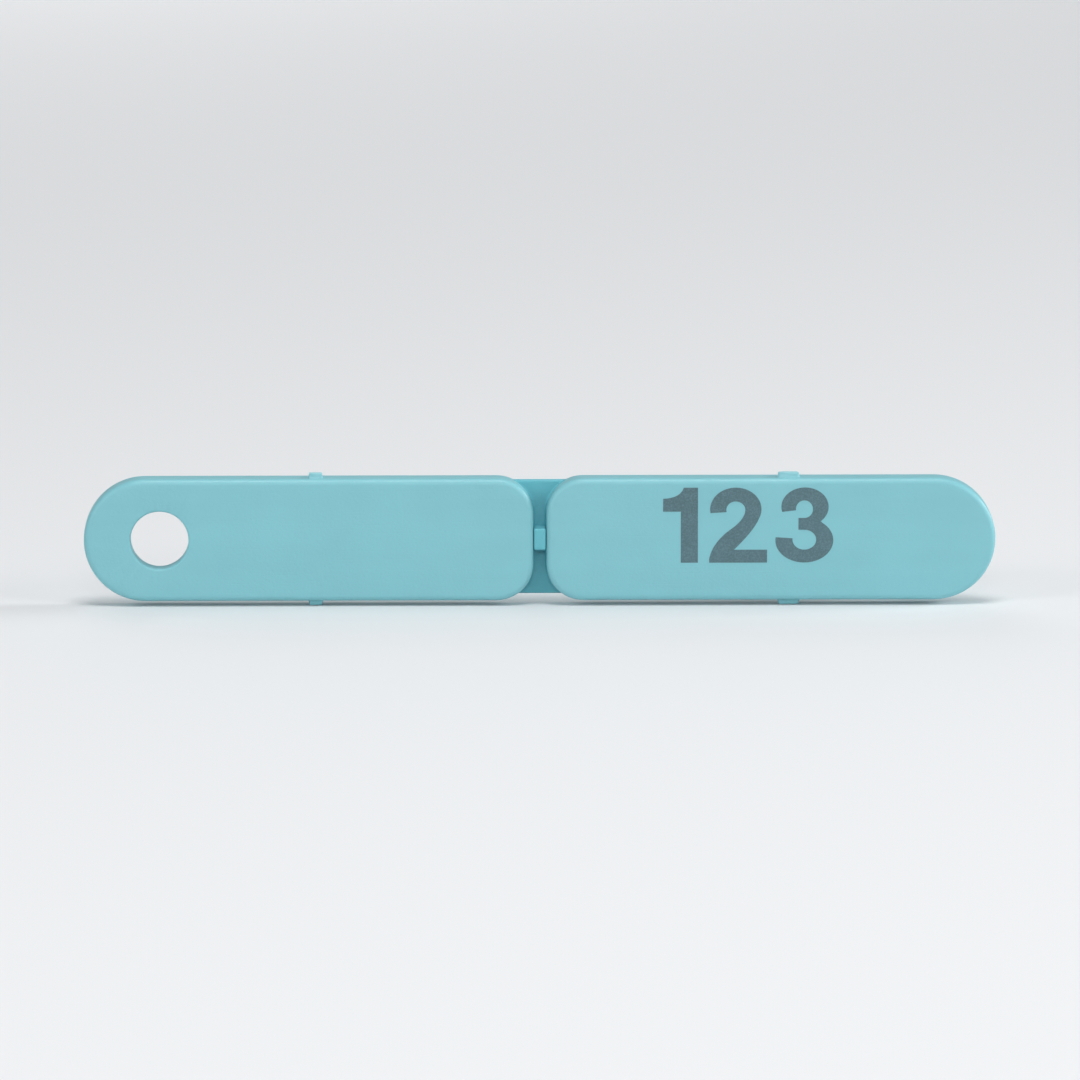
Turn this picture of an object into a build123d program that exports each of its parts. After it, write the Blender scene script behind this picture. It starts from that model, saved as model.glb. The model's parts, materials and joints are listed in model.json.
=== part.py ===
from build123d import *
import os

# One-piece fold-over ear tag, laid out flat as it leaves the mould, in millimetres.
# The front face looks towards -Y, the pin points to +Y, and the long sides are level.
# The origin is the centre of the pin hole, halfway through the panel.

# Panels, the same outline on both sides of the hinge
panel_length = 38.0
panel_width = 10.4
panel_thickness = 2.6
hinge_corner_radius = 3.1
front_edge_round = 0.5

# Pin hole in the female panel
hole_diameter = 4.9
hole_from_end = 6.4
hole_front_round = 0.2
hole_lead_in = 0.3

# Living hinge, a thin web flush with the back, and the stop bead that stands on it
hinge_gap = 1.1
web_thickness = 0.5
web_side_inset = 0.35
bead_length = 1.85
bead_wall_clearance = 0.12
bead_below_face = 0.25
bead_top_round = 0.2

# Stubs of the snapped tabs that held the tag in its strip
stub_height = 0.45
stub_thickness = 1.1
stub_below_face = 0.6
stub_taper = 8.0
female_stub_width = 1.2
female_stub_from_end = 19.6
male_stub_width = 1.85
male_stub_from_hinge = 20.5

# Barbed pin on the back of the male panel
pin_from_end = 6.8
shaft_diameter = 3.2
shaft_root_round = 0.8
neck_length = 7.0
head_length = 5.0
head_diameter = 5.6
head_land = 0.4
head_curve_radius = 20.0
barb_undercut = 0.3
tip_radius = 0.25

# Places that follow from these sizes
front_y = -panel_thickness / 2
back_y = panel_thickness / 2
female_end_x = -hole_from_end
female_hinge_x = female_end_x + panel_length
hinge_x = female_hinge_x + hinge_gap / 2
male_hinge_x = female_hinge_x + hinge_gap
male_end_x = male_hinge_x + panel_length
pin_x = male_end_x - pin_from_end
pin_length = neck_length + head_length
stub_y = front_y + stub_below_face + stub_thickness / 2

# Planes with +X to the right and +Z up, seen from the front
back_plane = Plane.XZ.offset(-back_y)
front_plane = Plane.XZ.offset(-front_y)
web_front_plane = back_plane.offset(web_thickness)


# Outline of a panel: a full round at its free end and two round corners at the hinge
def panel_outline(end_x, inner_x):
    inward = 1 if inner_x > end_x else -1
    round_x = end_x + inward * panel_width / 2
    with BuildSketch(back_plane) as outline:
        with Locations((round_x, 0)):
            Circle(panel_width / 2)
        with Locations(((round_x + inner_x) / 2, 0)):
            Rectangle(panel_length - panel_width / 2, panel_width)
        corners = outline.vertices().sort_by(Axis.X)[::inward][-2:]
        fillet(corners, hinge_corner_radius)
    return outline


# Both stubs of one panel, on its upper and lower long side
def tab_stubs(stub_x, stub_width):
    with BuildPart() as stubs:
        with BuildSketch(Plane.XY.offset(panel_width / 2)):
            with Locations((stub_x, stub_y)):
                Rectangle(stub_width, stub_thickness)
        extrude(amount=stub_height, taper=stub_taper)
        mirror(about=Plane.XY)
    return stubs.part


os.makedirs("parts", exist_ok=True)

female_outline = panel_outline(female_end_x, female_hinge_x)
male_outline = panel_outline(male_end_x, male_hinge_x)
female_stubs = tab_stubs(female_end_x + female_stub_from_end, female_stub_width)
male_stubs = tab_stubs(male_hinge_x + male_stub_from_hinge, male_stub_width)

# Female panel: blank face, with the hole that takes the pin
with BuildPart() as female_panel:
    extrude(female_outline.sketch, amount=panel_thickness)
    fillet(female_panel.faces().sort_by(Axis.Y)[0].edges(), front_edge_round)
    with Locations(front_plane):
        Hole(hole_diameter / 2)
    rims = female_panel.edges(Select.LAST).filter_by(GeomType.CIRCLE).sort_by(Axis.Y)
    fillet(rims[0], hole_front_round)
    chamfer(rims[-1], hole_lead_in)
    add(female_stubs)

# Male panel: numbered face, with the barbed pin on its back
with BuildPart() as male_panel:
    extrude(male_outline.sketch, amount=panel_thickness)
    fillet(male_panel.faces().sort_by(Axis.Y)[0].edges(), front_edge_round)
    with BuildSketch(Plane((pin_x, back_y, 0))):
        with BuildLine():
            shaft_foot = (shaft_diameter / 2, 0)
            shaft_top = (shaft_diameter / 2, neck_length + barb_undercut)
            barb_edge = (head_diameter / 2, neck_length)
            land_edge = (head_diameter / 2, neck_length + head_land)
            tip_edge = (tip_radius, pin_length - tip_radius)
            Polyline((0, 0), shaft_foot, shaft_top, barb_edge, land_edge)
            RadiusArc(land_edge, tip_edge, -head_curve_radius)
            RadiusArc(tip_edge, (0, pin_length), -tip_radius)
            Line((0, pin_length), (0, 0))
        make_face()
    revolve(axis=Axis((pin_x, back_y, 0), (0, 1, 0)))
    pin_root = male_panel.edges(Select.LAST).filter_by(GeomType.CIRCLE).sort_by(Axis.Y)[0]
    fillet(pin_root, shaft_root_round)
    add(male_stubs)

# Hinge web: fills the gap and the corners between the panels, with the stop bead in its middle
with BuildPart() as hinge_web:
    with BuildSketch(back_plane):
        with Locations((hinge_x, 0)):
            Rectangle(hinge_gap + 2 * hinge_corner_radius, panel_width - 2 * web_side_inset)
        add(female_outline.sketch_local, mode=Mode.SUBTRACT)
        add(male_outline.sketch_local, mode=Mode.SUBTRACT)
    extrude(amount=web_thickness)
    with BuildSketch(web_front_plane):
        with Locations((hinge_x, 0)):
            Rectangle(hinge_gap - 2 * bead_wall_clearance, bead_length)
    extrude(amount=panel_thickness - web_thickness - bead_below_face)
    fillet(hinge_web.faces().sort_by(Axis.Y)[0].edges(), bead_top_round)

female_panel.part.label = "female_panel"
export_step(female_panel.part, "parts/female_panel.step")
male_panel.part.label = "male_panel"
export_step(male_panel.part, "parts/male_panel.step")
hinge_web.part.label = "hinge_web"
export_step(hinge_web.part, "parts/hinge_web.step")
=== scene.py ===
import json
import math
import bmesh
import bpy
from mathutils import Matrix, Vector, noise


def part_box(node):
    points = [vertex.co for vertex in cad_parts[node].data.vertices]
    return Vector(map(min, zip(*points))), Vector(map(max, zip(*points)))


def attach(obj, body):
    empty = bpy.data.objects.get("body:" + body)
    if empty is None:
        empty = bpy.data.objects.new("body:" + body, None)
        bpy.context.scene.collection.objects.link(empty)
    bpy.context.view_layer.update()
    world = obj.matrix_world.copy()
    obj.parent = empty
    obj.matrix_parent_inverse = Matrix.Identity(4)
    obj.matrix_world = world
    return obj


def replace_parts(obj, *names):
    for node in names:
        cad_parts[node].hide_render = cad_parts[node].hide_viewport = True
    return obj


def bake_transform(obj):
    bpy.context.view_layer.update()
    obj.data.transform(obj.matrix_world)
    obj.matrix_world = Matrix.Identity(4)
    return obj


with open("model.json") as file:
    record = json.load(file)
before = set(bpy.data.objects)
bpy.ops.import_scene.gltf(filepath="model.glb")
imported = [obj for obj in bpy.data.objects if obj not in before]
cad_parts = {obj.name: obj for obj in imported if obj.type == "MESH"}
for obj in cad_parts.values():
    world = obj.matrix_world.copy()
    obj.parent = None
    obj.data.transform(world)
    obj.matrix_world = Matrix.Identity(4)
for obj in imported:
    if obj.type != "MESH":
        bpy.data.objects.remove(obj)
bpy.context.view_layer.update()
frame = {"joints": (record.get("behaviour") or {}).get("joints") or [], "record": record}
scene = bpy.context.scene
mm = 0.001

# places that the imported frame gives
femaleLow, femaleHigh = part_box("female_panel")
maleLow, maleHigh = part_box("male_panel")
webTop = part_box("hinge_web")[1].z
mounts = {m["name"]: m for m in frame["record"]["mounts"]}
hinge = Vector(frame["joints"][0]["pos_m"])
frontY, backY = femaleLow.y, femaleHigh.y
hingeGap = maleLow.x - femaleHigh.x
print("frame: hinge at %.2f mm, panels %.2f mm apart" % (hinge.x / mm, hingeGap / mm))


# outline helpers

def arcPoints(centreX, centreZ, radiusX, radiusZ, start, end, steps):  # leaves out the last point
    turns = [math.radians(start + (end - start) * i / steps) for i in range(steps)]
    return [(centreX + radiusX * math.cos(t), centreZ + radiusZ * math.sin(t)) for t in turns]


def linePoints(a, b, steps):  # leaves out the last point
    return [(a[0] + (b[0] - a[0]) * i / steps, a[1] + (b[1] - a[1]) * i / steps) for i in range(steps)]


def between(low, high, shares):
    return [low + (high - low) * share for share in shares]


def quarterRound(radius, steps):  # distances from the two sides of a corner, from one side to the other
    turns = [math.radians(90 * i / steps) for i in range(steps + 1)]
    return [(radius * (1 - math.sin(t)), radius * (1 - math.cos(t))) for t in turns]


def softRectangle(halfA, halfB, steps, squareness):  # rectangle with soft corners, about its middle
    loop = []
    for i in range(steps):
        t = 2 * math.pi * i / steps
        a = math.copysign(abs(math.cos(t)) ** squareness, math.cos(t)) * halfA
        b = math.copysign(abs(math.sin(t)) ** squareness, math.sin(t)) * halfB
        loop.append((a, b))
    return loop


# mesh helpers

def loftRings(bm, rings):
    made = [[bm.verts.new(p) for p in ring] for ring in rings]
    for low, high in zip(made, made[1:]):
        for i in range(len(low)):
            j = (i + 1) % len(low)
            bm.faces.new((low[i], low[j], high[j], high[i]))
    return made


def turnedRings(bm, centre, profile, steps, reachAt=None):  # (radius, y) pairs, turned about Y
    turns = [2 * math.pi * i / steps for i in range(steps)]
    rings = []
    for radius, y in profile:
        ring = []
        for t in turns:
            reach = reachAt(radius, t) if reachAt else radius
            ring.append((centre.x + reach * math.cos(t), y, centre.z + reach * math.sin(t)))
        rings.append(ring)
    return loftRings(bm, rings)


def stripFaces(bm, low, high, finish=0):
    for i in range(len(low) - 1):
        bm.faces.new((low[i], low[i + 1], high[i + 1], high[i])).material_index = finish


def fillFlat(bm, *loops):  # closes a flat face between its outline and the openings in it
    edges = [bm.edges.get((loop[i - 1], loop[i])) for loop in loops for i in range(len(loop))]
    bmesh.ops.triangle_fill(bm, use_beauty=True, edges=edges)


def capWithPoint(bm, ring, point):
    top = bm.verts.new(point)
    for i in range(len(ring)):
        bm.faces.new((ring[i - 1], ring[i], top))


def meshObject(name, bm, *materials):
    bmesh.ops.recalc_face_normals(bm, faces=bm.faces)
    mesh = bpy.data.meshes.new(name)
    bm.to_mesh(mesh)
    bm.free()
    for material in materials:
        mesh.materials.append(material)
    mesh.shade_smooth()
    made = bpy.data.objects.new(name, mesh)
    scene.collection.objects.link(made)
    return made


def makePiece(name, bm, *materials, sharpAngle=38):
    piece = meshObject(name, bm, *materials)
    piece.data.set_sharp_from_angle(angle=math.radians(sharpAngle))
    weighted = piece.modifiers.new("evenNormals", "WEIGHTED_NORMAL")
    weighted.keep_sharp = True
    return piece


# node helpers

def addNode(tree, kind, inputs=None, **settings):
    made = tree.nodes.new(kind)
    for key, value in settings.items():
        setattr(made, key, value)
    for key, value in (inputs or {}).items():
        if isinstance(value, bpy.types.NodeSocket):
            tree.links.new(value, made.inputs[key])
        else:
            made.inputs[key].default_value = value
    return made


def startGroup(name, inputs, outputs):
    group = bpy.data.node_groups.new(name, "ShaderNodeTree")
    for label, kind, value in inputs:
        group.interface.new_socket(label, in_out="INPUT", socket_type=kind).default_value = value
    for label, kind in outputs:
        group.interface.new_socket(label, in_out="OUTPUT", socket_type=kind)
    return group, addNode(group, "NodeGroupInput").outputs, addNode(group, "NodeGroupOutput").inputs


def millimetres(tree):  # surface position in millimetres
    place = addNode(tree, "ShaderNodeTexCoord").outputs["Object"]
    scaled = addNode(tree, "ShaderNodeVectorMath", {0: place, "Scale": 1 / mm}, operation="SCALE")
    return scaled.outputs["Vector"]


def noiseAt(tree, place, scale, detail=2.0, roughness=0.5):
    values = {"Vector": place, "Scale": scale, "Detail": detail, "Roughness": roughness}
    return addNode(tree, "ShaderNodeTexNoise", values).outputs["Fac"]


def spread(tree, value, low, high, fromLow=0.3, fromHigh=0.7):  # noise lies mostly between 0.3 and 0.7
    values = {"Value": value, "From Min": fromLow, "From Max": fromHigh, "To Min": low, "To Max": high}
    return addNode(tree, "ShaderNodeMapRange", values).outputs["Result"]


def mathOf(tree, operation, a, b):
    return addNode(tree, "ShaderNodeMath", {0: a, 1: b}, operation=operation).outputs[0]


def sharedOf(tree, a, b, share):  # so much of the first value, and the rest of the second
    return mathOf(tree, "ADD", mathOf(tree, "MULTIPLY", a, share), mathOf(tree, "MULTIPLY", b, 1 - share))


# effects that several finishes share

grainPattern = {
    "detail": 3.0,
    "roughness": 0.6,
    "broadScale": 0.12,  # of the shinier patches, against the grains
    "fineInHeight": 0.8,
    "fineInSheen": 0.35,
}


def mouldGrainGroup():  # fine grain of the mould's wall, with patches that are a little shinier
    group, given, out = startGroup(
        "mouldGrain",
        [("Grains", "NodeSocketFloat", 3.0)],  # grains in a millimetre
        [("Height", "NodeSocketFloat"), ("Sheen", "NodeSocketFloat")],
    )
    place = millimetres(group)
    fine = noiseAt(group, place, given["Grains"], grainPattern["detail"], grainPattern["roughness"])
    broad = noiseAt(group, place, mathOf(group, "MULTIPLY", given["Grains"], grainPattern["broadScale"]))
    sheen = sharedOf(group, fine, broad, grainPattern["fineInSheen"])
    group.links.new(sharedOf(group, fine, broad, grainPattern["fineInHeight"]), out["Height"])
    group.links.new(spread(group, sheen, 0.0, 1.0), out["Sheen"])
    return group


pigmentPattern = {
    "cloudScale": 0.16,
    "cloudRoughness": 0.55,
    "cloudShare": 0.55,  # the rest is streaks
    "streakStretch": (0.05, 0.5, 0.45),
}


def pigmentDriftGroup():  # faint clouds and flow streaks of the pigment
    group, given, out = startGroup(
        "pigmentDrift",
        [("Colour", "NodeSocketColor", (0.5, 0.5, 0.5, 1.0)), ("Drift", "NodeSocketFloat", 0.03)],
        [("Colour", "NodeSocketColor")],
    )
    place = millimetres(group)
    along = addNode(group, "ShaderNodeMapping", {"Vector": place, "Scale": pigmentPattern["streakStretch"]})
    cloud = noiseAt(group, place, pigmentPattern["cloudScale"], roughness=pigmentPattern["cloudRoughness"])
    streak = noiseAt(group, along.outputs["Vector"], 1.0)
    swing = spread(group, sharedOf(group, cloud, streak, pigmentPattern["cloudShare"]), -1.0, 1.0)
    lightness = mathOf(group, "ADD", mathOf(group, "MULTIPLY", swing, given["Drift"]), 1.0)
    tinted = addNode(group, "ShaderNodeHueSaturation", {"Color": given["Colour"], "Value": lightness})
    group.links.new(tinted.outputs["Color"], out["Colour"])
    return group


scuffPattern = {
    "tilts": (23, -41, 78),  # three sets of lines
    "shifts": (0.0, 7.3, 3.1),
    "stretch": (0.11, 0.5, 8.0),
    "detail": 3.0,
    "roughness": 0.6,
    "faint": 0.64,
    "full": 0.72,
}


def scuffMarksGroup():  # hairlines from lying against other plastic
    group, given, out = startGroup(
        "scuffMarks",
        [("Cover", "NodeSocketFloat", 0.5)],
        [("Mask", "NodeSocketFloat")],
    )
    place = millimetres(group)
    lines = []
    for tilt, shift in zip(scuffPattern["tilts"], scuffPattern["shifts"]):
        values = {
            "Vector": place,
            "Location": (shift, 0.0, shift),
            "Rotation": (0.0, math.radians(tilt), 0.0),
            "Scale": scuffPattern["stretch"],
        }
        turned = addNode(group, "ShaderNodeMapping", values).outputs["Vector"]
        line = noiseAt(group, turned, 1.0, scuffPattern["detail"], scuffPattern["roughness"])
        lines.append(spread(group, line, 0.0, 1.0, scuffPattern["faint"], scuffPattern["full"]))
    strongest = mathOf(group, "MAXIMUM", mathOf(group, "MAXIMUM", lines[0], lines[1]), lines[2])
    group.links.new(mathOf(group, "MULTIPLY", strongest, given["Cover"]), out["Mask"])
    return group


mouldGrain = mouldGrainGroup()
pigmentDrift = pigmentDriftGroup()
scuffMarks = scuffMarksGroup()
print("shared effects: %d node groups" % len(bpy.data.node_groups))


# finishes

def startFinish(name):
    material = bpy.data.materials.new(name)
    material.use_nodes = True
    tree = material.node_tree
    tree.nodes.clear()
    shader = addNode(tree, "ShaderNodeBsdfPrincipled")
    addNode(tree, "ShaderNodeOutputMaterial", {"Surface": shader.outputs["BSDF"]})
    return material, tree, shader


def placeGroup(tree, group, **values):
    return addNode(tree, "ShaderNodeGroup", values, node_tree=group).outputs


def dressShader(tree, shader, colour, rough, height, strength, depth):
    bump = addNode(tree, "ShaderNodeBump", {"Height": height, "Strength": strength, "Distance": depth})
    tree.links.new(colour, shader.inputs["Base Color"])
    tree.links.new(rough, shader.inputs["Roughness"])
    tree.links.new(bump.outputs["Normal"], shader.inputs["Normal"])


moulded = {
    "roughest": 0.44,
    "smoothest": 0.32,
    "grainDepth": 0.03 * mm,
    "bumpStrength": 0.8,
    "scuffs": 0.5,
    "scuffDepth": 0.4,  # share of the grain's depth
    "scuffRoughness": 0.12,
    "subsurface": 0.06,
    "glowRadius": (0.4, 0.9, 1.0),
    "glowScale": 0.8 * mm,
}
# the thin web and its bead are darker and deeper in colour than the panels, partly for the thin web's
# translucency and partly as painted shade of the recessed hinge groove
panelLook = {"colour": (0.216, 0.525, 0.582, 1.0), "grains": 5.0, "drift": 0.03, "specular": 0.5}
webToneAndShadeLook = {"colour": (0.135, 0.465, 0.54, 1.0), "grains": 7.0, "drift": 0.04, "specular": 0.3}


def mouldedPlastic(name, colour, grains, drift, specular):
    material, tree, shader = startFinish(name)
    grain = placeGroup(tree, mouldGrain, Grains=grains)
    tone = placeGroup(tree, pigmentDrift, Colour=colour, Drift=drift)
    scuff = placeGroup(tree, scuffMarks, Cover=moulded["scuffs"])["Mask"]
    rough = spread(tree, grain["Sheen"], moulded["smoothest"], moulded["roughest"], 0.0, 1.0)
    rough = mathOf(tree, "ADD", rough, mathOf(tree, "MULTIPLY", scuff, moulded["scuffRoughness"]))
    height = mathOf(tree, "SUBTRACT", grain["Height"], mathOf(tree, "MULTIPLY", scuff, moulded["scuffDepth"]))
    dressShader(tree, shader, tone["Colour"], rough, height, moulded["bumpStrength"], moulded["grainDepth"])
    shader.inputs["Specular IOR Level"].default_value = specular
    shader.inputs["Subsurface Weight"].default_value = moulded["subsurface"]
    shader.inputs["Subsurface Radius"].default_value = moulded["glowRadius"]
    shader.inputs["Subsurface Scale"].default_value = moulded["glowScale"]
    return material


tornLook = {  # the paler, fibrous face where a tab was snapped off
    "colour": (0.36, 0.66, 0.7, 1.0),
    "drift": 0.08,
    "fleck": panelLook["colour"],
    "fleckRange": (0.0, 1.0),
    "grains": 6.0,
    "grainDepth": 0.08 * mm,
    "bumpStrength": 0.8,
    "smoothest": 0.55,
    "roughest": 0.75,
}
markLook = {  # grey, slightly foamed laser mark
    "colour": (0.075, 0.145, 0.17, 1.0),
    "drift": 0.1,
    "fleck": (0.11, 0.2, 0.228, 1.0),
    "fleckRange": (0.42, 0.66),
    "grains": 8.0,
    "grainDepth": 0.02 * mm,
    "bumpStrength": 0.5,
    "smoothest": 0.5,
    "roughest": 0.66,
}


def fleckedPlastic(name, look):
    material, tree, shader = startFinish(name)
    grain = placeGroup(tree, mouldGrain, Grains=look["grains"])
    tone = placeGroup(tree, pigmentDrift, Colour=look["colour"], Drift=look["drift"])
    fleck = spread(tree, grain["Height"], 0.0, 1.0, *look["fleckRange"])
    mixed = {"Factor": fleck, "A": tone["Colour"], "B": look["fleck"]}
    colour = addNode(tree, "ShaderNodeMix", mixed, data_type="RGBA").outputs["Result"]
    rough = spread(tree, grain["Sheen"], look["smoothest"], look["roughest"], 0.0, 1.0)
    dressShader(tree, shader, colour, rough, grain["Height"], look["bumpStrength"], look["grainDepth"])
    return material


panelPlastic = mouldedPlastic("panelPlastic", **panelLook)
# finish of the web and bead, whose darker base colour is partly painted shade of the hinge groove
webDeepShadedPlastic = mouldedPlastic("webDeepShadedPlastic", **webToneAndShadeLook)
tornPlastic = fleckedPlastic("tornPlastic", tornLook)
numberMark = fleckedPlastic("numberMark", markLook)
print("finishes: %s" % ", ".join(m.name for m in (panelPlastic, webDeepShadedPlastic, tornPlastic, numberMark)))


# the two panels

stubHeight = 0.45 * mm  # how far the snapped tabs stand out of the long sides
panel = {
    "halfWidth": femaleHigh.z - stubHeight,
    "cornerRadius": 3.1 * mm,
    "frontRound": 0.5 * mm,
    "backRound": 0.08 * mm,
    "faceMargin": 0.3 * mm,  # ring that keeps the flat faces flat
    "markRoom": 0.02 * mm,  # the number stands this far above the face
    "wallShares": (0.1, 0.5, 0.9),
    "endSteps": 56,
    "cornerSteps": 20,
    "sideSteps": 40,
    "hingeSteps": 10,
    "frontSteps": 7,
    "backSteps": 3,
}
faceY = frontY + panel["markRoom"]
cornerZ = panel["halfWidth"] - panel["cornerRadius"]


def panelRing(endX, innerX, inset):
    inward = 1 if innerX > endX else -1
    half = panel["halfWidth"] - inset
    corner = panel["cornerRadius"] - inset
    roundX = panel["halfWidth"]
    cornerX = abs(innerX - endX) - panel["cornerRadius"]
    ring = arcPoints(roundX, 0, half, half, 90, 270, panel["endSteps"])
    ring += linePoints((roundX, -half), (cornerX, -half), panel["sideSteps"])
    ring += arcPoints(cornerX, -cornerZ, corner, corner, 270, 360, panel["cornerSteps"])
    ring += linePoints((cornerX + corner, -cornerZ), (cornerX + corner, cornerZ), panel["hingeSteps"])
    ring += arcPoints(cornerX, cornerZ, corner, corner, 0, 90, panel["cornerSteps"])
    ring += linePoints((cornerX, half), (roundX, half), panel["sideSteps"])
    return [(endX + inward * u, z) for u, z in ring]


def panelShell(bm, endX, innerX):  # returns the rings that bound the flat back and the flat front
    back, front, margin = panel["backRound"], panel["frontRound"], panel["faceMargin"]
    profile = [(back + margin, backY)]
    profile += [(inset, backY - down) for inset, down in quarterRound(back, panel["backSteps"])]
    profile += [(0, y) for y in between(backY - back, faceY + front, panel["wallShares"])]
    profile += [(inset, faceY + down) for down, inset in quarterRound(front, panel["frontSteps"])]
    profile.append((front + margin, faceY))
    rings = loftRings(bm, [[(x, y, z) for x, z in panelRing(endX, innerX, inset)] for inset, y in profile])
    return rings[0], rings[-1]


ejector = {
    "radius": 1.2 * mm,
    "depth": 0.04 * mm,
    "edgeShare": 0.7,  # share of the depth that the edge drops
    "edgeInset": 0.02 * mm,
    "floorInset": 0.07 * mm,
    "steps": 56,
    "femalePlaces": (9.5 * mm, 26.0 * mm),
    "malePlaces": (38.3 * mm, 53.2 * mm),
}


def ejectorMarks(bm, places):  # round witness marks of the mould's ejectors, on the flat back
    radius, edgeRadius = ejector["radius"], ejector["radius"] - ejector["edgeInset"]
    edgeY, floorY = backY - ejector["edgeShare"] * ejector["depth"], backY - ejector["depth"]
    profile = [(radius, backY), (edgeRadius, edgeY), (radius - ejector["floorInset"], floorY)]
    outlines = []
    for x in places:
        rings = turnedRings(bm, Vector((x, 0, 0)), profile, ejector["steps"])
        capWithPoint(bm, rings[-1], (x, floorY, 0))
        outlines.append(rings[0])
    return outlines


hole = {
    "radius": mounts["pin_hole"]["dims"]["r_mm"] * mm,
    "frontRound": 0.2 * mm,
    "frontSteps": 5,
    "wallShares": (0.3, 0.95),
    "leadIn": 0.3 * mm,
    "leadEdge": 0.02 * mm,
    "steps": 80,
}


def holeProfile():  # from the front rim to the lead-in at the back
    radius, leadY = hole["radius"], backY - hole["leadIn"]
    rim = quarterRound(hole["frontRound"], hole["frontSteps"])
    profile = [(radius + out, faceY + down) for out, down in rim]
    profile += [(radius, y) for y in between(faceY, leadY, hole["wallShares"])]
    profile += [(radius + hole["leadEdge"], leadY), (radius + hole["leadIn"], backY)]
    return profile


def femalePanel():
    bm = bmesh.new()
    backRing, frontRing = panelShell(bm, femaleLow.x, femaleHigh.x)
    bore = turnedRings(bm, Vector(mounts["pin_hole"]["pos_m"]), holeProfile(), hole["steps"])
    fillFlat(bm, frontRing, bore[0])
    fillFlat(bm, backRing, bore[-1], *ejectorMarks(bm, ejector["femalePlaces"]))
    piece = makePiece("female_panel_shell", bm, panelPlastic)
    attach(piece, "female_half")
    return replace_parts(piece, "female_panel")


pin = {
    "shaftRadius": mounts["ear_pin"]["dims"]["r_mm"] * mm,
    "rootRound": 0.8 * mm,
    "rootSteps": 8,
    "neckLength": 7.0 * mm,
    "neckShares": (0.25, 0.5, 0.75, 0.96),
    "undercut": 0.3 * mm,
    "undercutEdge": 0.05 * mm,
    "headRadius": 2.8 * mm,
    "headLand": 0.4 * mm,
    "landEdge": 0.08 * mm,
    "headCurve": 20.0 * mm,
    "headSteps": 18,
    "barbRound": 0.06 * mm,
    "barbLift": 0.02 * mm,
    "barbShare": 0.3,  # how far the middle of the barb's round stands in
    "tipRadius": 0.25 * mm,
    "tipTurns": (25, 50, 72),
    "seam": 0.025 * mm,
    "seamTurn": 3,
    "seamFade": 1.0 * mm,  # the seam fades out below this radius
    "steps": 144,
}


def headSide(a, b):  # arc from the head's land to its tip
    radius, steps, chord = pin["headCurve"], pin["headSteps"], b - a
    inward = Vector((-chord.y, chord.x)).normalized()
    centre = (a + b) / 2 + inward * math.sqrt(radius ** 2 - (chord.length / 2) ** 2)
    start = math.atan2(a.y - centre.y, a.x - centre.x)
    end = math.atan2(b.y - centre.y, b.x - centre.x)
    turns = [start + (end - start) * i / steps for i in range(steps + 1)]
    return [(centre.x + radius * math.cos(t), centre.y + radius * math.sin(t)) for t in turns]


def pinProfile():  # from the root at the panel's back to just short of the tip
    shaft, root, head = pin["shaftRadius"], pin["rootRound"], pin["headRadius"]
    neck, barb, tip = pin["neckLength"], pin["barbRound"], pin["tipRadius"]
    underY, landY, tipY = neck + pin["undercut"], neck + pin["headLand"], maleHigh.y - backY - tip
    profile = [(shaft + out, up) for out, up in quarterRound(root, pin["rootSteps"])]
    profile += [(shaft, y) for y in between(root, underY, pin["neckShares"])]
    profile += [(shaft + pin["undercutEdge"], underY), (head - barb, neck + pin["barbLift"])]
    profile += [(head - pin["barbShare"] * barb, neck + pin["barbShare"] * barb), (head, neck + barb)]
    profile.append((head, landY - pin["landEdge"]))
    profile += headSide(Vector((head, landY)), Vector((tip, tipY)))
    for t in (math.radians(turn) for turn in pin["tipTurns"]):
        profile.append((tip * math.cos(t), tipY + tip * math.sin(t)))
    return [(radius, backY + y) for radius, y in profile]


def seamReach(radius, turn):  # fine line of the mould along both sides of the pin
    ridge = max(0.0, 1 - abs(math.sin(turn)) / math.sin(math.radians(pin["seamTurn"])))
    return radius + pin["seam"] * ridge * min(1.0, radius / pin["seamFade"])


def malePanel():
    bm = bmesh.new()
    backRing, frontRing = panelShell(bm, maleHigh.x, maleLow.x)
    axis = Vector(mounts["ear_pin"]["pos_m"])
    turned = turnedRings(bm, axis, pinProfile(), pin["steps"], seamReach)
    capWithPoint(bm, turned[-1], (axis.x, maleHigh.y, axis.z))
    fillFlat(bm, backRing, turned[0], *ejectorMarks(bm, ejector["malePlaces"]))
    fillFlat(bm, frontRing)
    piece = makePiece("male_panel_shell", bm, panelPlastic)
    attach(piece, "male_half")
    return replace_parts(piece, "male_panel")


femaleShell = femalePanel()
maleShell = malePanel()
print("panels: %d and %d faces" % (len(femaleShell.data.polygons), len(maleShell.data.polygons)))


# stubs of the snapped tabs

stub = {
    "height": stubHeight,
    "thickness": 1.1 * mm,
    "belowFace": 0.6 * mm,
    "taper": 8,
    "sideShares": (0.5, 0.7),
    "sunk": 0.3 * mm,  # depth that it runs into the panel
    "rootFlare": 0.12 * mm,
    "flareSteps": 5,
    "tornDepth": 0.14 * mm,
    "tornShares": (0.98, 0.8, 0.6, 0.4, 0.2),  # rings of the torn end, the outer lip first
    "insideTear": 0.55,  # share of the depth inside the lip
    "middleTear": 0.4,
    "fibreSize": 0.28 * mm,
    "fibreShift": 4.0 * mm,  # so that upper and lower stubs tear differently
    "squareness": 0.25,
    "steps": 48,
    "femaleWidth": 1.2 * mm,
    "femaleFromEnd": 19.6 * mm,
    "maleWidth": 1.85 * mm,
    "maleFromHinge": 20.5 * mm,
}


def tearDepth(x, y, side):  # uneven depth of the tear
    place = Vector((x, y, side * stub["fibreShift"])) / stub["fibreSize"]
    return stub["tornDepth"] * min(1.0, max(0.0, noise.noise(place) * 0.5 + 0.5))


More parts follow.
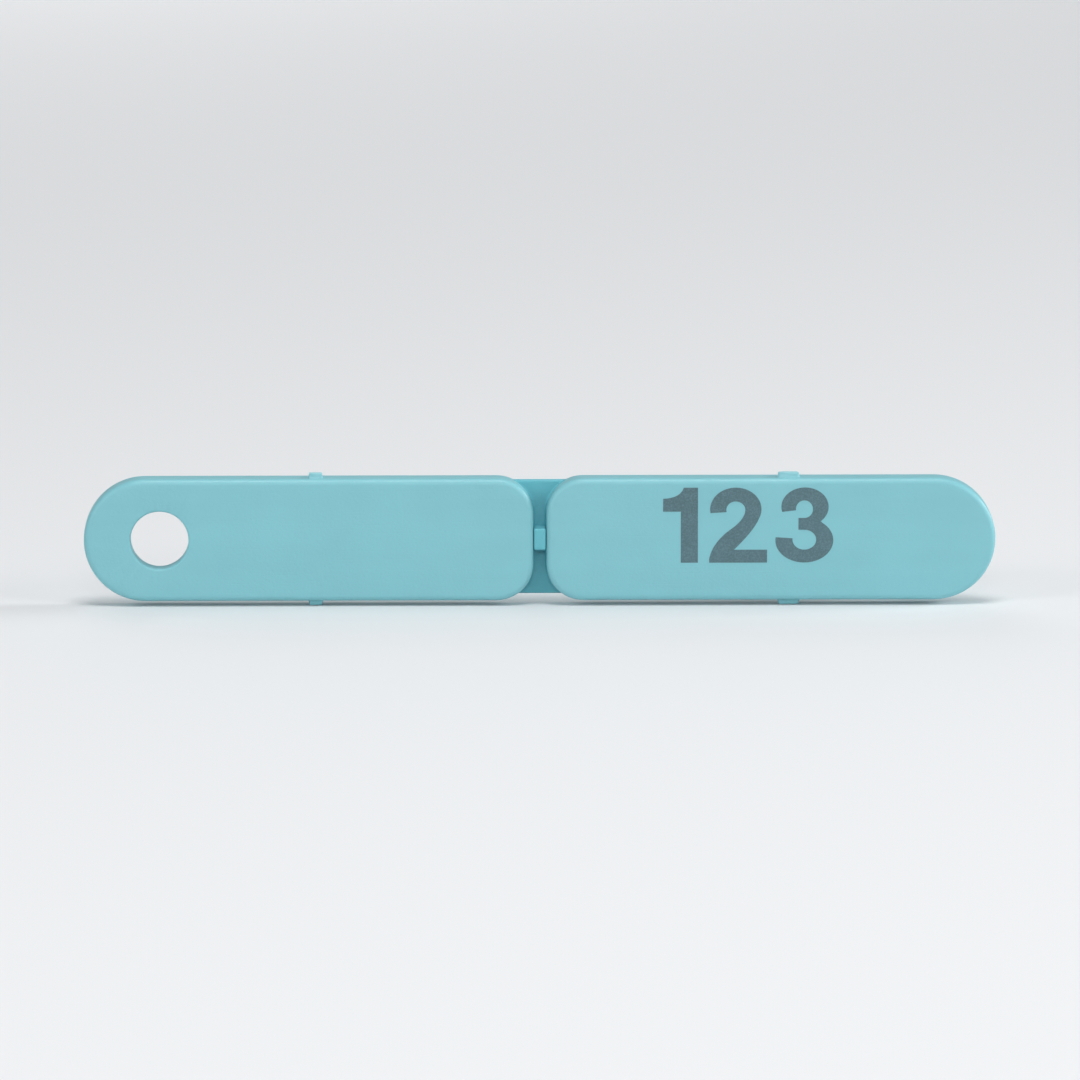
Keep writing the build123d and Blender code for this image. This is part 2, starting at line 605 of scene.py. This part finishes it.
def tornStub(name, centreX, width, side, body):
    bm = bmesh.new()
    centreY = frontY + stub["belowFace"] + stub["thickness"] / 2
    height, halfX, halfY = stub["height"], width / 2, stub["thickness"] / 2

    def stubRing(sizeX, sizeY):
        loop = softRectangle(sizeX, sizeY, stub["steps"], stub["squareness"])
        return [(centreX + x, centreY + y) for x, y in loop]

    narrowing = math.tan(math.radians(stub["taper"]))
    layers = quarterRound(stub["rootFlare"], stub["flareSteps"])  # concave flare out of the panel's side
    layers += [(-narrowing * up, up) for up in between(0, height, stub["sideShares"])]
    rings = [[(x, y, -stub["sunk"]) for x, y in stubRing(halfX, halfY)]]
    for grow, up in layers:
        rings.append([(x, y, up) for x, y in stubRing(halfX + grow, halfY + grow)])
    last = layers[-1][0]
    for share in stub["tornShares"]:  # torn end, rising unevenly towards its middle
        tear = 1.0 if share == stub["tornShares"][0] else stub["insideTear"]
        loop = stubRing(share * (halfX + last), share * (halfY + last))
        rings.append([(x, y, height - tearDepth(x, y, side) * tear) for x, y in loop])
    rootZ = panel["halfWidth"]
    made = loftRings(bm, [[(x, y, side * (rootZ + z)) for x, y, z in ring] for ring in rings])
    middleZ = rootZ + height - stub["middleTear"] * stub["tornDepth"]
    capWithPoint(bm, made[-1], (centreX, centreY, side * middleZ))
    bm.faces.ensure_lookup_table()
    for face in bm.faces[(len(layers) + 1) * stub["steps"]:]:
        face.material_index = 1
    fillFlat(bm, made[0])  # end that is sunk in the panel
    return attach(makePiece(name, bm, panelPlastic, tornPlastic, sharpAngle=50), body)


femaleStubX = femaleLow.x + stub["femaleFromEnd"]
maleStubX = maleLow.x + stub["maleFromHinge"]
for side, word in ((1, "upper"), (-1, "lower")):
    tornStub("female_stub_" + word, femaleStubX, stub["femaleWidth"], side, "female_half")
    tornStub("male_stub_" + word, maleStubX, stub["maleWidth"], side, "male_half")
print("stubs: 4 snapped tabs")


# living hinge

web = {
    "thickness": 0.5 * mm,
    "rootRound": 0.2 * mm,
    "endRound": 0.12 * mm,
    "overlap": 0.12 * mm,  # edges run this far into the panels, past the round of their backs
    "skin": 0.003 * mm,  # the back lies this far over the panels' backs there
    "across": 56,
    "along": 108,
}


def halfGapAt(z):  # half the distance between the panels' outlines at a height
    past = abs(z) - cornerZ
    if past <= 0:
        return hingeGap / 2
    return hingeGap / 2 + panel["cornerRadius"] - math.sqrt(panel["cornerRadius"] ** 2 - past ** 2)


def roundHeight(distance, radius):  # height of a quarter round at a distance from its wall
    if distance >= radius:
        return 0.0
    return radius - math.sqrt(radius ** 2 - (radius - distance) ** 2)


def hingeWeb():
    bm = bmesh.new()
    front, back = [], []
    for row in range(web["along"] + 1):
        z = -webTop + 2 * webTop * row / web["along"]
        gap = halfGapAt(z)
        reach = gap + web["overlap"]
        dip = roundHeight(webTop - abs(z), web["endRound"])
        frontRow, backRow = [], []
        for column in range(web["across"] + 1):
            x = reach * (2 * column / web["across"] - 1)
            rise = roundHeight(max(0.0, gap - abs(x)), web["rootRound"])
            frontRow.append(bm.verts.new((hinge.x + x, backY - web["thickness"] - rise + dip, z)))
            backRow.append(bm.verts.new((hinge.x + x, backY + web["skin"], z)))
        front.append(frontRow)
        back.append(backRow)
    for finish, rows in enumerate((front, back)):
        for low, high in zip(rows, rows[1:]):
            stripFaces(bm, low, high, finish)
    for row in (0, -1):  # upper and lower ends
        stripFaces(bm, front[row], back[row])
    for column in (0, -1):  # edges inside the panels
        stripFaces(bm, [row[column] for row in front], [row[column] for row in back])
    piece = makePiece("hinge_web_strip", bm, webDeepShadedPlastic, panelPlastic, sharpAngle=60)
    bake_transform(piece)
    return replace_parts(piece, "hinge_web")


bead = {
    "length": 1.85 * mm,
    "wallClearance": 0.03 * mm,
    "belowFace": 0.25 * mm,
    "topRound": 0.15 * mm,
    "topSteps": 6,
    "draft": 0.015 * mm,
    "sideShares": (0.35, 0.65, 0.97),
    "foot": 0.3 * mm,  # depth that it runs into the web
    "footEdge": 0.1 * mm,
    "squareness": 0.2,
    "steps": 64,
    "blendReach": 100 * mm,  # far ends
}


def hingeBead():
    bm = bmesh.new()
    halfX, halfZ = hingeGap / 2 - bead["wallClearance"], bead["length"] / 2
    webY, topY = backY - web["thickness"], frontY + bead["belowFace"]
    sideYs = between(webY, topY + bead["topRound"], bead["sideShares"])
    profile = [(0.0, webY + bead["foot"]), (0.0, webY), (0.0, webY - bead["footEdge"])]
    profile += [(bead["draft"] * share, y) for share, y in zip(bead["sideShares"], sideYs)]
    for down, inset in quarterRound(bead["topRound"], bead["topSteps"]):
        profile.append((bead["draft"] + inset, topY + down))
    rings = []
    for inset, y in profile:
        loop = softRectangle(halfX - inset, halfZ - inset, bead["steps"], bead["squareness"])
        rings.append([(hinge.x + x, y, z) for x, z in loop])
    made = loftRings(bm, rings)
    fillFlat(bm, made[-1])
    fillFlat(bm, made[0])
    piece = makePiece("hinge_stop_bead", bm, webDeepShadedPlastic)
    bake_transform(piece)
    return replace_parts(piece, "hinge_web")


webStrip = hingeWeb()
stopBead = hingeBead()
print("hinge: web %d faces, bead %d faces" % (len(webStrip.data.polygons), len(stopBead.data.polygons)))


# number on the male panel, its digits in millimetres from their left end and foot

number = {
    "fromHinge": 10.4 * mm,
    "foot": -1.97 * mm,
    "sunk": 0.05 * mm,  # depth that it runs into the panel
    "shy": 0.004 * mm,  # stays this far short of the panel's true front
    "arcSteps": 40,
    "bendSteps": 12,
    "one": [
        ("to", 0.0, 4.36), ("to", 1.5, 4.36), ("to", 1.5, 0.0), ("to", 2.95, 0.0), ("to", 2.95, 6.4),
        ("to", 1.75, 6.4), ("bend", 1.45, 5.5, 0.0, 5.46),
    ],
    "two": [
        ("arc", 6.15, 4.55, 2.17, 1.85, 190, -25), ("bend", 7.7, 2.75, 6.0, 1.1), ("to", 8.8, 1.1),
        ("to", 8.8, 0.0), ("to", 3.9, 0.0), ("to", 3.9, 0.3), ("bend", 4.15, 1.65, 5.6, 2.75),
        ("bend", 6.85, 3.6, 6.94, 4.38), ("arc", 6.15, 4.5, 0.8, 0.72, -10, 195),
    ],
    "three": [
        ("arc", 12.0, 4.75, 2.0, 1.65, 195, -48), ("arc", 11.95, 1.9, 2.45, 1.9, 52, -188),
        ("arc", 11.95, 1.95, 1.0, 0.85, 172, 440), ("to", 11.45, 2.8), ("to", 11.45, 3.8),
        ("arc", 11.95, 4.55, 0.72, 0.75, 275, 547),
    ],
}


def digitOutline(steps):
    points = []
    for kind, *v in steps:
        if kind == "to":
            points.append((v[0], v[1]))
        elif kind == "arc":  # middle, two radii, first and last turn
            points += arcPoints(*v, number["arcSteps"])
            points += arcPoints(*v[:4], v[5], v[5], 1)
        else:  # a bend towards its first point that ends at its second
            x, z = points[-1]
            for i in range(1, number["bendSteps"] + 1):
                t = i / number["bendSteps"]
                a, b, c = (1 - t) ** 2, 2 * t * (1 - t), t * t
                points.append((a * x + b * v[0] + c * v[2], a * z + b * v[1] + c * v[3]))
    return points


def numberPiece():
    bm = bmesh.new()
    left, foot = hinge.x + number["fromHinge"], number["foot"]
    depths = (faceY + number["sunk"], frontY + number["shy"])
    for digit in ("one", "two", "three"):
        outline = [(left + x * mm, foot + z * mm) for x, z in digitOutline(number[digit])]
        made = loftRings(bm, [[(x, y, z) for x, z in outline] for y in depths])
        fillFlat(bm, made[-1])
        fillFlat(bm, made[0])
    piece = makePiece("number_mark", bm, numberMark)
    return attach(piece, "male_half")


numberOnPanel = numberPiece()
print("number: %d faces" % len(numberOnPanel.data.polygons))


# pale floor, light and camera

studio = {
    "floorRadii": (0.02, 0.2, 1.4),
    "floorSteps": 96,
    "floorColour": (0.77, 0.78, 0.79, 1.0),
    "floorRoughness": 0.7,
    "coveRadius": 0.7,
    "coveTurn": 80,
    "coveSteps": 12,
    "sky": (0.93, 0.96, 1.0, 1.0),
    "skyStrength": 0.25,
    "view": "Standard",
}


def paleFloor():
    bm = bmesh.new()
    cove = studio["coveRadius"]
    profile = [(radius, 0.0) for radius in studio["floorRadii"]]
    for i in range(1, studio["coveSteps"] + 1):
        a = math.radians(studio["coveTurn"] * i / studio["coveSteps"])
        profile.append((studio["floorRadii"][-1] + cove * math.sin(a), cove * (1 - math.cos(a))))
    rings = []
    for radius, up in profile:
        ring = arcPoints(hinge.x, 0.0, radius, radius, 0, 360, studio["floorSteps"])
        rings.append([(x, y, femaleLow.z + up) for x, y in ring])
    made = loftRings(bm, rings)
    capWithPoint(bm, made[0], (hinge.x, 0.0, femaleLow.z))
    material, _, shader = startFinish("paleFloor")
    shader.inputs["Base Color"].default_value = studio["floorColour"]
    shader.inputs["Roughness"].default_value = studio["floorRoughness"]
    floor = meshObject("pale_floor", bm, material)


lights = {  # places are counted from the hinge
    "left": {"place": (-0.6, -0.5, 0.32), "size": 0.35, "power": 1.37},
    "right": {"place": (0.62, -0.45, 0.32), "size": 0.35, "power": 1.4},
    "front": {"place": (0.0, -0.8, 0.28), "size": 0.15, "power": 0.9},  # reaches into the hinge groove
    "top": {"place": (0.03, -0.22, 0.75), "size": 0.4, "power": 2.95},
    "rightRim": {"place": (0.8, 0.14, 0.3), "size": 0.3, "power": 3.6},
    "back": {"place": (-0.2, 0.85, 0.3), "size": 0.6, "power": 2.3, "gloss": False},
}


def softLight(name, place, size, power, gloss=True):
    lamp = bpy.data.lights.new(name, "AREA")
    lamp.shape = "DISK"
    lamp.size = size
    lamp.energy = power
    made = bpy.data.objects.new(name, lamp)
    made.location = Vector((hinge.x, 0, 0)) + Vector(place)
    made.rotation_euler = Vector(place).to_track_quat("Z", "Y").to_euler()
    made.visible_glossy = gloss
    scene.collection.objects.link(made)


camera = {"azimuth": -0.9, "elevation": 8.0, "distance": 0.9, "lens": 355.0, "nearest": 0.01}


def photoCamera():
    lensData = bpy.data.cameras.new("camera")
    lensData.lens = camera["lens"]
    lensData.clip_start = camera["nearest"]
    made = bpy.data.objects.new("camera", lensData)
    a, e = math.radians(camera["azimuth"]), math.radians(camera["elevation"])
    away = Vector((math.sin(a) * math.cos(e), -math.cos(a) * math.cos(e), math.sin(e)))
    made.location = Vector((hinge.x, frontY, 0)) + away * camera["distance"]
    made.rotation_euler = away.to_track_quat("Z", "Y").to_euler()
    scene.collection.objects.link(made)
    scene.camera = made


paleFloor()
for name, given in lights.items():
    softLight(name, **given)
scene.world = bpy.data.worlds.new("paleSky")
scene.world.use_nodes = True
sky = scene.world.node_tree.nodes["Background"]
sky.inputs["Color"].default_value = studio["sky"]
sky.inputs["Strength"].default_value = studio["skyStrength"]
scene.view_settings.view_transform = studio["view"]
photoCamera()
print("studio: floor, %d lights and camera" % len(lights))
